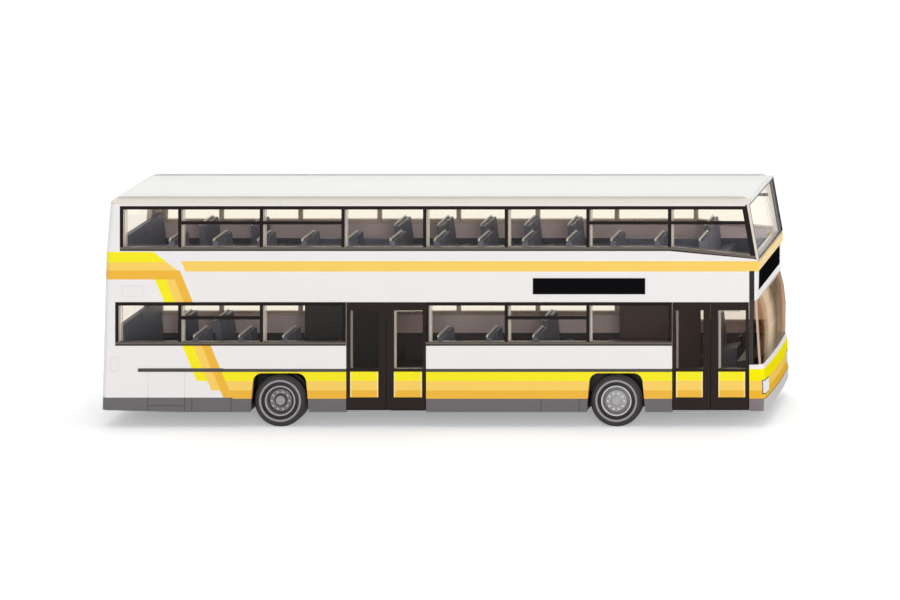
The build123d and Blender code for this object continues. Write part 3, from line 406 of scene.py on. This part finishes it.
def stripes(tree, x, y, z):
    """White sides with the yellow and orange bands, and the grey skirt."""
    slanted = x + (z - SLANT_Z) * SLANT
    ahead = slanted > DIAGONAL[3]
    behind = slanted < DIAGONAL[3]
    fold = x < (z - FOLD_Z) * FOLD_LEAN + FOLD_X
    level, rear = STRIPE_Z, REAR_STRIPE_Z
    bands = (
        (ORANGE, ahead * z.between(level[0], level[1])),
        (LIGHT_ORANGE, ahead * z.between(level[1], level[2])),
        (YELLOW, ahead * z.between(level[2], level[3])),
        (LIGHT_ORANGE, (slanted > DIAGONAL[3] + BAND_START) * z.between(*BAND_Z)),
        (YELLOW, slanted.between(DIAGONAL[0], DIAGONAL[1]) * z.between(level[2], rear[0])),
        (LIGHT_ORANGE, slanted.between(DIAGONAL[1], DIAGONAL[2]) * z.between(level[1], rear[0])),
        (ORANGE, behind * z.between(rear[0], rear[1])),
        (ORANGE, slanted.between(DIAGONAL[2], DIAGONAL[3]) * z.between(level[0], rear[1])),
        (LIGHT_ORANGE, fold * z.between(rear[1], rear[2])),
        (YELLOW, fold * z.between(rear[2], rear[3])),
        (SKIRT_GREY, z < level[0]),
        (SKIRT_GREY, behind * (z < level[0] + REAR_SKIRT_RISE)),
    )
    colour = SIDE_WHITE
    for over, share in bands:
        colour = mixed(tree, share, colour, over)
    return colour


# Front edge of the upper side walls: X and Z of its foot, and how far it leans back for each millimetre up
PILLAR_FOOT_X, PILLAR_FOOT_Z, PILLAR_LEAN = 62.55, 32.6, 0.1776
PILLAR_BLACK, PILLAR_BLACK_Z = 0.3, 32.5  # width of the black along it outside, and its lower end
PILLAR_WHITE, PILLAR_WHITE_Z = 3.4, 35.3  # width of the white along it inside, and its lower end
PILLAR_INSIDE_Y = 14.0                  # the inner faces of the walls lie within this
RAISED_PANE = -0.1                      # the raised face of the upper front pane begins here, from the edge
RAISED_PANE_FACING = 0.7


def ahead_of_pillar(x, z):
    """How far a point lies ahead of the slanting front edge of the upper side walls."""
    return x + (z - PILLAR_FOOT_Z) * PILLAR_LEAN - PILLAR_FOOT_X


def upright_edges(tree, x, y, z):
    """The side edges of the upper front pane's raised face are printed black."""
    return (squareness(tree, "Y") > RAISED_PANE_FACING) * (ahead_of_pillar(x, z) > RAISED_PANE)


# Inside of the shell: where its white is painted grey as shade, the tops of the darker painted shade at the
# foot of each deck, and the reveals of the openings
SHADED_INSIDE_X, SHADED_INSIDE_Y = (-63.25, 60.0), 13.6
LOWER_FOOT_SHADE_Z, UPPER_FOOT_SHADE_Z = 12.2, (25.0, 31.2)
REVEAL_Y, REVEAL_Z = (13.6, 14.1), (12.0, 43.2)

# Painted shadow along the rub rails, wider behind the X given for the rear
RAIL_X, RAIL_SHADOW_Z = (-57.5, 61.1), (10.8, 11.4)
REAR_SHADOW_X, REAR_SHADOW_Z = -41.0, 11.52


def shell_paint(tree, x, y, z):
    """The stripes outside with a painted shadow along the rub rails, black slanting front edges that are
    white inside, the white inside painted grey as shade and darker at the foot of each deck, and light
    reveals."""
    ahead = ahead_of_pillar(x, z)
    # Painted shadow along the rub rails
    rail_shadow = x.between(*RAIL_X) * z.between(*RAIL_SHADOW_Z)
    rail_shadow = rail_shadow.either(x.between(RAIL_X[0], REAR_SHADOW_X) * z.between(RAIL_SHADOW_Z[0], REAR_SHADOW_Z))
    striped = mixed(tree, rail_shadow, stripes(tree, x, y, z), RAIL_SHADOW)
    outside = mixed(tree, (ahead > -PILLAR_BLACK) * (z > PILLAR_BLACK_Z), striped, FRAME_BLACK)
    opening = (squareness(tree, "Y") < CUT) * y.size().between(*REVEAL_Y) * z.between(*REVEAL_Z)
    opened = mixed(tree, opening, outside, reveal(tree, y, z))
    # Painted shade: the white inside is grey, darker at the foot of each deck
    upper = mixed(tree, z.between(*UPPER_FOOT_SHADE_Z), INNER_SHADE, UPPER_FOOT_SHADE)
    inside_shade = mixed(tree, z < LOWER_FOOT_SHADE_Z, upper, LOWER_FOOT_SHADE)
    shaded_inside = mixed(tree, (y.size() < SHADED_INSIDE_Y) * x.between(*SHADED_INSIDE_X), opened, inside_shade)
    inside = (z > PILLAR_WHITE_Z) * (y.size() < PILLAR_INSIDE_Y) * (squareness(tree, "Y") > FACING)
    return mixed(tree, inside * ahead.between(-PILLAR_WHITE, -PILLAR_BLACK), shaded_inside, INNER_WHITE)


WHEEL_BOX_Z = 10.9


def lower_deck_paint(tree, x, y, z):
    """Slate seats over a black floor, whose wheel boxes show in the arches."""
    return mixed(tree, z < WHEEL_BOX_Z, SEAT_SLATE, CHASSIS_BLACK)


SHOULDER_Y = 11.6                       # the seams of the roof's crown


def roof_paint(tree, x, y, z):
    """White crown, with its sloping shoulders painted darker and warmer as shade."""
    return mixed(tree, y.size() > SHOULDER_Y, ROOF_WHITE, SHOULDER_SHADE)


# Ends of the coloured door panels, and the width and share of their pale edges
PANEL_X = ((-16.41, -10.95), (-7.91, -2.45), (46.89, 52.08), (55.12, 60.31))
PALE_W, PALE_SHARE = 0.26, 0.6


def panel_paint(tree, x, y, z):
    """The stripes, with the panels' ends paler."""
    starts = [start for low, high in PANEL_X for start in (low, high - PALE_W)]
    ends = greatest([x.between(start, start + PALE_W) for start in starts])
    return mixed(tree, ends * PALE_SHARE, stripes(tree, x, y, z), PALE_EDGE)


# Gloss of the windscreen: upright streaks, and a soft veil on the right half that fades towards the foot
SCREEN_FOOT_Z, SCREEN_HEAD_Z = 11.0, 24.0
STREAK_MM, STREAK_START = 2.5, 3.7
STREAK_LEAST, STREAK_DEPTH = 0.6, 0.8
VEIL_Y, VEIL_HALF, VEIL = -7.0, 7.0, 1.1
VEIL_RISE, VEIL_FOOT = 0.13, 0.3        # its growth for each millimetre up, and its share at the foot
GLOSS_LEAST = 0.3


def screen_gloss(tree, x, y, z):
    """A soft veil in the gloss of the bent windscreen, weaker towards its foot, and upright streaks."""
    node = tree.nodes.new("ShaderNodeTexNoise")
    node.noise_dimensions = "1D"
    node.inputs["Detail"].default_value = 1.0
    node.inputs["Scale"].default_value = 1.0
    tree.links.new((y * (1.0 / STREAK_MM) + STREAK_START).socket, node.inputs["W"])
    streaks = Field(tree, node.outputs["Fac"]) * STREAK_DEPTH + STREAK_LEAST
    rise = ((z - SCREEN_FOOT_Z) * VEIL_RISE).held(VEIL_FOOT, 1.0)
    away = (y - VEIL_Y) * (1.0 / VEIL_HALF)
    veil = (away * away * -1.0 + 1.0).either(0.0)
    return (veil * veil * rise * VEIL + GLOSS_LEAST) * streaks


# Painted highlight just inside each end of the windscreen, and the printed joint behind it
GLINT_X, GLINT_Y, GLINT_LEAN, GLINT_W = 62.25, 12.9, 0.06, 0.4
GLINT_SHARE = 0.55
SCREEN_JOINT_X = 61.95


def screen_end_highlights(tree, x, y, z):
    """A painted highlight at each end of the windscreen, further in at its foot."""
    along = x - GLINT_X + (z - SCREEN_HEAD_Z) * GLINT_LEAN
    return along.between(0.0, GLINT_W) * (y.size() > GLINT_Y) * GLINT_SHARE


def screen_joint(tree, x, y, z):
    """The windscreen's ends are printed black where they meet the body."""
    return x < SCREEN_JOINT_X


# Wheels, measured from their axes: the ring on the tyre's wall, the ring of nuts and the lip of the rim
WHEEL_FACE_Y = 14.0
TYRE_RING_R = (3.66, 4.1)
NUT_RING_R = (1.35, 1.95)
RIM_LIP_R, RIM_LIP_HIGHLIGHT_SHARE = 2.62, 0.6


def from_hub(name, x, z):
    """Distance from the axis of the wheels in a node."""
    corners = [Vector(c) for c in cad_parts[name].bound_box]
    hub = sum(corners, Vector()) / len(corners) / MM
    along, up = x - hub.x, z - hub.z
    return (along * along + up * up).math("SQRT")


def tyre_paint(name):
    """Dark tyre with a painted highlight on the raised ring on its wall."""
    def paint(tree, x, y, z):
        return mixed(tree, from_hub(name, x, z).between(*TYRE_RING_R), TYRE_BLACK, TYRE_RING_HIGHLIGHT)
    return paint


def rim_paint(name, tones, fade, nut_depth):
    """Silver wheel of one tone, with painted shade deep in its dish and painted highlights on its lip and
    nuts.

    fade is where the dish's painted shade starts and ends, and nut_depth where the nuts stand, in from the
    face.
    """
    tone, dish_shade, highlight = tones

    def paint(tree, x, y, z):
        depth = y.size() * -1.0 + WHEEL_FACE_Y
        # Painted shade deeper in the dish, painted highlight on the lip and nuts
        shade_share = ((depth - fade[0]) * (1.0 / (fade[1] - fade[0]))).held(0.0, 1.0)
        out = from_hub(name, x, z)
        nuts = out.between(*NUT_RING_R) * (depth < nut_depth)
        lit = nuts.either((out > RIM_LIP_R) * RIM_LIP_HIGHLIGHT_SHARE)
        return mixed(tree, lit, mixed(tree, shade_share, tone, dish_shade), highlight)
    return paint


# Front: the yellow up to the ledge, the headlights and their edges, and the joints with the sides
FRONT_YELLOW_Z = (10.85, 11.35)
LAMP_Y, LAMP_HALF, LAMP_Z = 12.5, 1.55, (6.6, 9.0)
BEZEL = 0.2
BUMPER_SIDE_FACING = 0.8
HEADER_JOINT_X, HEADER_JOINT_Z = 62.15, 30.4


def front_panel_paint(tree, x, y, z):
    """The side stripes go round the front, the yellow up to the ledge; the lamps have dark edges."""
    ledge = mixed(tree, z.between(*FRONT_YELLOW_Z), stripes(tree, x, y, z), YELLOW)
    near = (y.size() - LAMP_Y).size() < LAMP_HALF + BEZEL
    return mixed(tree, near * z.between(LAMP_Z[0] - BEZEL, LAMP_Z[1] + BEZEL), ledge, BEZEL_GREY)


def bumper_paint(tree, x, y, z):
    """Light grey front, darker round its sides."""
    return mixed(tree, squareness(tree, "Y") > BUMPER_SIDE_FACING, BUMPER_GREY, BUMPER_SIDE)


def header_paint(tree, x, y, z):
    """The band goes round the front; the joint with the sides is black."""
    joint = (x < HEADER_JOINT_X) * (z < HEADER_JOINT_Z)
    return mixed(tree, joint, stripes(tree, x, y, z), FRAME_BLACK)


def dress(material, *names):
    """Give nodes of the frame one material."""
    for name in names:
        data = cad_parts[name].data
        data.materials.clear()
        data.materials.append(material)


# Body
dress(moulded("satin_striped_paint", shell_paint, rough=0.32, shine=0.3, cloud=0.015), "body_shell")
dress(moulded("satin_front_paint", front_panel_paint, rough=0.34, shine=0.0, relief_mm=0.003), "front_panel")
dress(moulded("satin_header_paint", header_paint, rough=0.3, shine=0.3), "front_header")
dress(moulded("satin_roof_white", roof_paint, rough=0.4, shine=0.3, cloud=0.012), "roof")
dress(moulded("light_grey_plastic", bumper_paint, rough=0.42), "front_bumper")
dress(moulded("grey_rail", RAIL_GREY, rough=0.45, relief_mm=0.004), "rub_rails")
dress(moulded("black_louvre", FRAME_BLACK, rough=0.5, relief_mm=0.008), "rear_grille")
dress(moulded("sign_black", SIGN_BLACK, rough=0.3, spread=0.06, shine=0.0), "front_sign", "side_sign")
dress(moulded("lamp_silver", LAMP_CLEAR, rough=0.15, spread=0.08), "headlights")
dress(moulded("lamp_red", LAMP_RED, rough=0.2, spread=0.08), "tail_lamps")

# Windows
dress(moulded("printed_frames", side_frame_paint, rough=0.38, relief_mm=0.004, shine=0.12),
      "upper_frames_right", "upper_frames_left", "lower_frames_right", "lower_frames_left")
dress(moulded("printed_end_frames", printed_on("X"), rough=0.38, relief_mm=0.004, shine=0.12), "rear_frames")
dress(moulded("printed_front_frame", front_frame_paint, rough=0.38, relief_mm=0.004, shine=0.1),
      "upper_front_frame")
# Painted highlights at the side panes' edges
dress(clear("smoked_clear", SMOKE_TINT, REVEAL_AND_HIGHLIGHT, highlight=pane_edge_highlights),
      "upper_glass_right", "upper_glass_left", "lower_glass_right", "lower_glass_left")
dress(clear("smoked_ends", END_TINT, END_EDGE, faces=None, sheen=0.3, print_black=upright_edges),
      "upper_front_glass", "rear_glass")
# The windscreen carries a painted highlight at each end
dress(clear("brown_clear", SCREEN_TINT, SCREEN_EDGE_AND_HIGHLIGHT, faces=None, gloss=0.016, sheen=1.12,
            mirror=SCREEN_MIRROR, uneven=screen_gloss, print_black=screen_joint, highlight=screen_end_highlights),
      "windscreen")

# Doors
dress(moulded("dark_brown_plastic", DOOR_BROWN, rough=0.34, shine=0.15),
      "front_door_leaves", "middle_door_leaves")
dress(moulded("satin_panel_paint", panel_paint, rough=0.3, shine=0.3),
      "front_door_panels", "middle_door_panels")
# Painted highlights at the door panes' edges
dress(clear("door_clear", DOOR_TINT, DOOR_EDGE_AND_HIGHLIGHT, highlight=door_edge_highlights), "front_door_glass", "middle_door_glass")

# Inside and underside
dress(moulded("slate_plastic", SEAT_SLATE, rough=0.5, relief_mm=0.012), "upper_deck", "driver_seat")
dress(moulded("slate_and_black_plastic", lower_deck_paint, rough=0.5, relief_mm=0.012), "lower_deck")
dress(moulded("dark_plastic", STAIR_DARK, rough=0.5), "rear_stair", "dashboard")
dress(moulded("cab_brown_plastic", CAB_BROWN, rough=0.45), "front_stair")
dress(moulded("black_plastic", CHASSIS_BLACK, rough=0.55, relief_mm=0.015), "chassis", "steering_wheel")

# Wheels
for axle in ("front", "rear"):
    tyres = f"{axle}_tyres"
    dress(moulded(f"{axle}_tyre_plastic", tyre_paint(tyres), rough=0.62, relief_mm=0.02, grain_mm=0.35),
          tyres)
dress(moulded("silver_plastic", rim_paint("front_rims", FRONT_RIM, fade=(0.2, 0.6), nut_depth=0.1),
              rough=0.34, metal=0.35), "front_rims")
dress(moulded("silver_grey_plastic", rim_paint("rear_rims", REAR_RIM, fade=(0.5, 1.15), nut_depth=0.65),
              rough=0.4, metal=0.3), "rear_rims")
dress(moulded("drawn_wire", STEEL, rough=0.3, metal=1.0), "front_axle", "rear_axle")

WIRE_SIDES = 8


def tube(mesh, points, radius):
    """Round wire through points, closed at its ends."""
    rings = []
    for i, point in enumerate(points):
        ahead = points[min(i + 1, len(points) - 1)] - points[max(i - 1, 0)]
        turn = ahead.to_track_quat("Z", "Y")
        ring = []
        for k in range(WIRE_SIDES):
            angle = math.tau * k / WIRE_SIDES
            spot = point + turn @ Vector((radius * math.cos(angle), radius * math.sin(angle), 0))
            ring.append(mesh.verts.new(spot * MM))
        rings.append(ring)
    for low, high in zip(rings, rings[1:]):
        for k in range(WIRE_SIDES):
            after = (k + 1) % WIRE_SIDES
            mesh.faces.new((low[k], low[after], high[after], high[k]))
    mesh.faces.new(list(reversed(rings[0])))
    mesh.faces.new(rings[-1])


def ride(name, mesh, material):
    """Make a piece of a mesh, smooth and of one material, that rides on the body."""
    data = bpy.data.meshes.new(name)
    bmesh.ops.recalc_face_normals(mesh, faces=mesh.faces)
    mesh.to_mesh(data)
    mesh.free()
    data.materials.append(material)
    made = bpy.data.objects.new(name, data)
    bpy.context.collection.objects.link(made)
    for face in data.polygons:
        face.use_smooth = True
    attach(made, BODY)


# Grab rails on the seat backs, white, and standing also for the highlights along the backs' top edges. A row
# has the X of its seats, its side of the aisle and the top of its backs
UPPER_BACK_Z, LOWER_BACK_Z = 35.74, 16.97
REAR_SEAT_X, SEAT_PITCH, RIGHT_SEATS = -51.85, 8.6, 13
SEAT_ROWS = (
    ([REAR_SEAT_X + SEAT_PITCH * i for i in range(RIGHT_SEATS)], -1, UPPER_BACK_Z),
    ([-50.25, -40.02, -11.66, -3.11, 5.44, 14.12, 22.66, 49.86], 1, UPPER_BACK_Z),
    ([-47.14, -38.36, -29.75, 0.45, 9.95, 18.95], -1, LOWER_BACK_Z),
    ([-54.52, -47.14, 17.61], 1, LOWER_BACK_Z),
)
GRAB_R, GRAB_BEHIND = 0.2, 0.32         # the wire's radius, and how far it stands behind the seat's X
GRAB_Y = (3.0, 11.7)                    # its two feet, from the middle of the bus
GRAB_SINK, GRAB_RISE = 0.05, 0.28       # its feet below the top of the back, and its rail above it
BEND_Y, BEND_Z = 0.3, 0.1               # what its bends cut off the corners

wire = bmesh.new()
for seats, side, top in SEAT_ROWS:
    low, high = top - GRAB_SINK, top + GRAB_RISE
    near, far = side * GRAB_Y[1], side * GRAB_Y[0]
    bend = side * BEND_Y
    line = ((near, low), (near, high - BEND_Z), (near - bend, high),
            (far + bend, high), (far, high - BEND_Z), (far, low))
    for seat_x in seats:
        tube(wire, [Vector((seat_x - GRAB_BEHIND, y, z)) for y, z in line], GRAB_R)
ride("seat_grab_rails", wire, moulded("white_wire_highlight", GRAB_RAIL_HIGHLIGHT, rough=0.35, relief_mm=0.004))

# Beads along both seams of the roof's crown, in a grey that also stands for the shade line along the crown's
# edges. Their ends bend down into it: how far in, and how deep
BEAD_X, BEAD_Z, BEAD_R = (-62.7, 60.4), 44.2, 0.2
BEAD_END = ((0.0, 0.4), (0.7, 0.08), (2.0, 0.0))

bead = bmesh.new()
for y in (-SHOULDER_Y, SHOULDER_Y):
    rear_end = [Vector((BEAD_X[0] + inward, y, BEAD_Z - sink)) for inward, sink in BEAD_END]
    front_end = [Vector((BEAD_X[1] - inward, y, BEAD_Z - sink)) for inward, sink in reversed(BEAD_END)]
    tube(bead, rear_end + front_end, BEAD_R)
ride("roof_beads", bead, moulded("grey_bead_shade", BEAD_SHADE_GREY, rough=0.45, relief_mm=0.004))

# Studio, in metres and watts: where each soft light stands, where it aims, its width and its power
LIGHTS = {
    "key": ((0.35, -1.15, 0.3), (0, 0, 0.02), 0.5, 5.7),
    "top": ((0.05, 0.0, 1.1), (0, 0, 0.04), 0.6, 1.85),
    "fill": ((1.0, 0.1, 0.3), (0, 0, 0.02), 0.5, 1.2),
    "back": ((-0.23, 0.92, 0.52), (0, 0, 0.03), 0.6, 1.3),
}
for name, (where, aim, width, power) in LIGHTS.items():
    lamp = bpy.data.lights.new(name, "AREA")
    lamp.shape, lamp.size, lamp.energy = "DISK", width, power
    made = bpy.data.objects.new(name, lamp)
    made.location = where
    made.rotation_euler = (Vector(aim) - Vector(where)).to_track_quat("-Z", "Y").to_euler()
    bpy.context.collection.objects.link(made)


def background_rays(tree):
    """1 on the rays that show the background: the camera's own, and those by way of glass or gloss."""
    path = tree.nodes.new("ShaderNodeLightPath")
    rays = ("Is Camera Ray", "Is Transmission Ray", "Is Glossy Ray")
    return greatest([Field(tree, path.outputs[ray]) for ray in rays])


# The world is white as a background and weaker as a light
WORLD_LEVEL = 0.5
world = bpy.data.worlds.new("studio")
bpy.context.scene.world = world
world.use_nodes = True
sky = world.node_tree.nodes["Background"]
sky.inputs["Color"].default_value = linear(WHITE)
strength = background_rays(world.node_tree) * (1.0 - WORLD_LEVEL) + WORLD_LEVEL
world.node_tree.links.new(strength.socket, sky.inputs["Strength"])

# Floor: half its width in metres, its linear colour and what the background rays see on top of its light
FLOOR_HALF = 4.0
FLOOR_COLOUR, FLOOR_ROUGH = (0.97, 0.98, 1.0, 1), 0.9
FLOOR_GLOW = 0.3
floor_mesh = bpy.data.meshes.new("floor")
grid = bmesh.new()
bmesh.ops.create_grid(grid, x_segments=1, y_segments=1, size=FLOOR_HALF)
grid.to_mesh(floor_mesh)
grid.free()
floor = bpy.data.objects.new("floor", floor_mesh)
bpy.context.collection.objects.link(floor)
floor_paint, floor_tree, floor_shader = new_material("floor_white")
floor_shader.inputs["Base Color"].default_value = FLOOR_COLOUR
floor_shader.inputs["Roughness"].default_value = FLOOR_ROUGH
floor_shader.inputs["Emission Color"].default_value = linear(WHITE)
glow = background_rays(floor_tree) * FLOOR_GLOW
floor_tree.links.new(glow.socket, floor_shader.inputs["Emission Strength"])
floor_mesh.materials.append(floor_paint)

# Camera, in metres. The photograph's picture plane is parallel to the side of the bus, as with a view camera,
# while the bus lies to the lower left of its axis: the camera's own axes are X and Z of the bus and the line
# of sight.
EYE = Vector((0.20635, -0.8734, 0.2104))
CENTRE_RAY = Vector((-0.23666, 1.0, -0.21609)).normalized()
LENS_PX, FRAME_PX = 4424.0, 900.0       # focal length and width of the photograph in pixels
SENSOR_MM = 36.0
NEAREST, FURTHEST = 0.01, 20.0          # what the camera sees lies between these distances
camera_data = bpy.data.cameras.new("camera")
camera_data.sensor_width = SENSOR_MM
camera_data.lens = LENS_PX / FRAME_PX * SENSOR_MM / CENTRE_RAY.y
camera_data.clip_start, camera_data.clip_end = NEAREST, FURTHEST
camera = bpy.data.objects.new("camera", camera_data)
stand = bpy.data.objects.new("camera_stand", None)
bpy.context.collection.objects.link(stand)
bpy.context.collection.objects.link(camera)
axes = Matrix.Identity(4)
axes.col[0] = (1, 0, 0, 0)
axes.col[1] = (0, 0, 1, 0)
axes.col[2] = (*-CENTRE_RAY, 0)
axes.col[3] = (*EYE, 1)
camera.parent = stand
camera.matrix_parent_inverse = axes
bpy.context.scene.camera = camera
bpy.context.scene.view_settings.view_transform = "Standard"

bpy.context.view_layer.update()
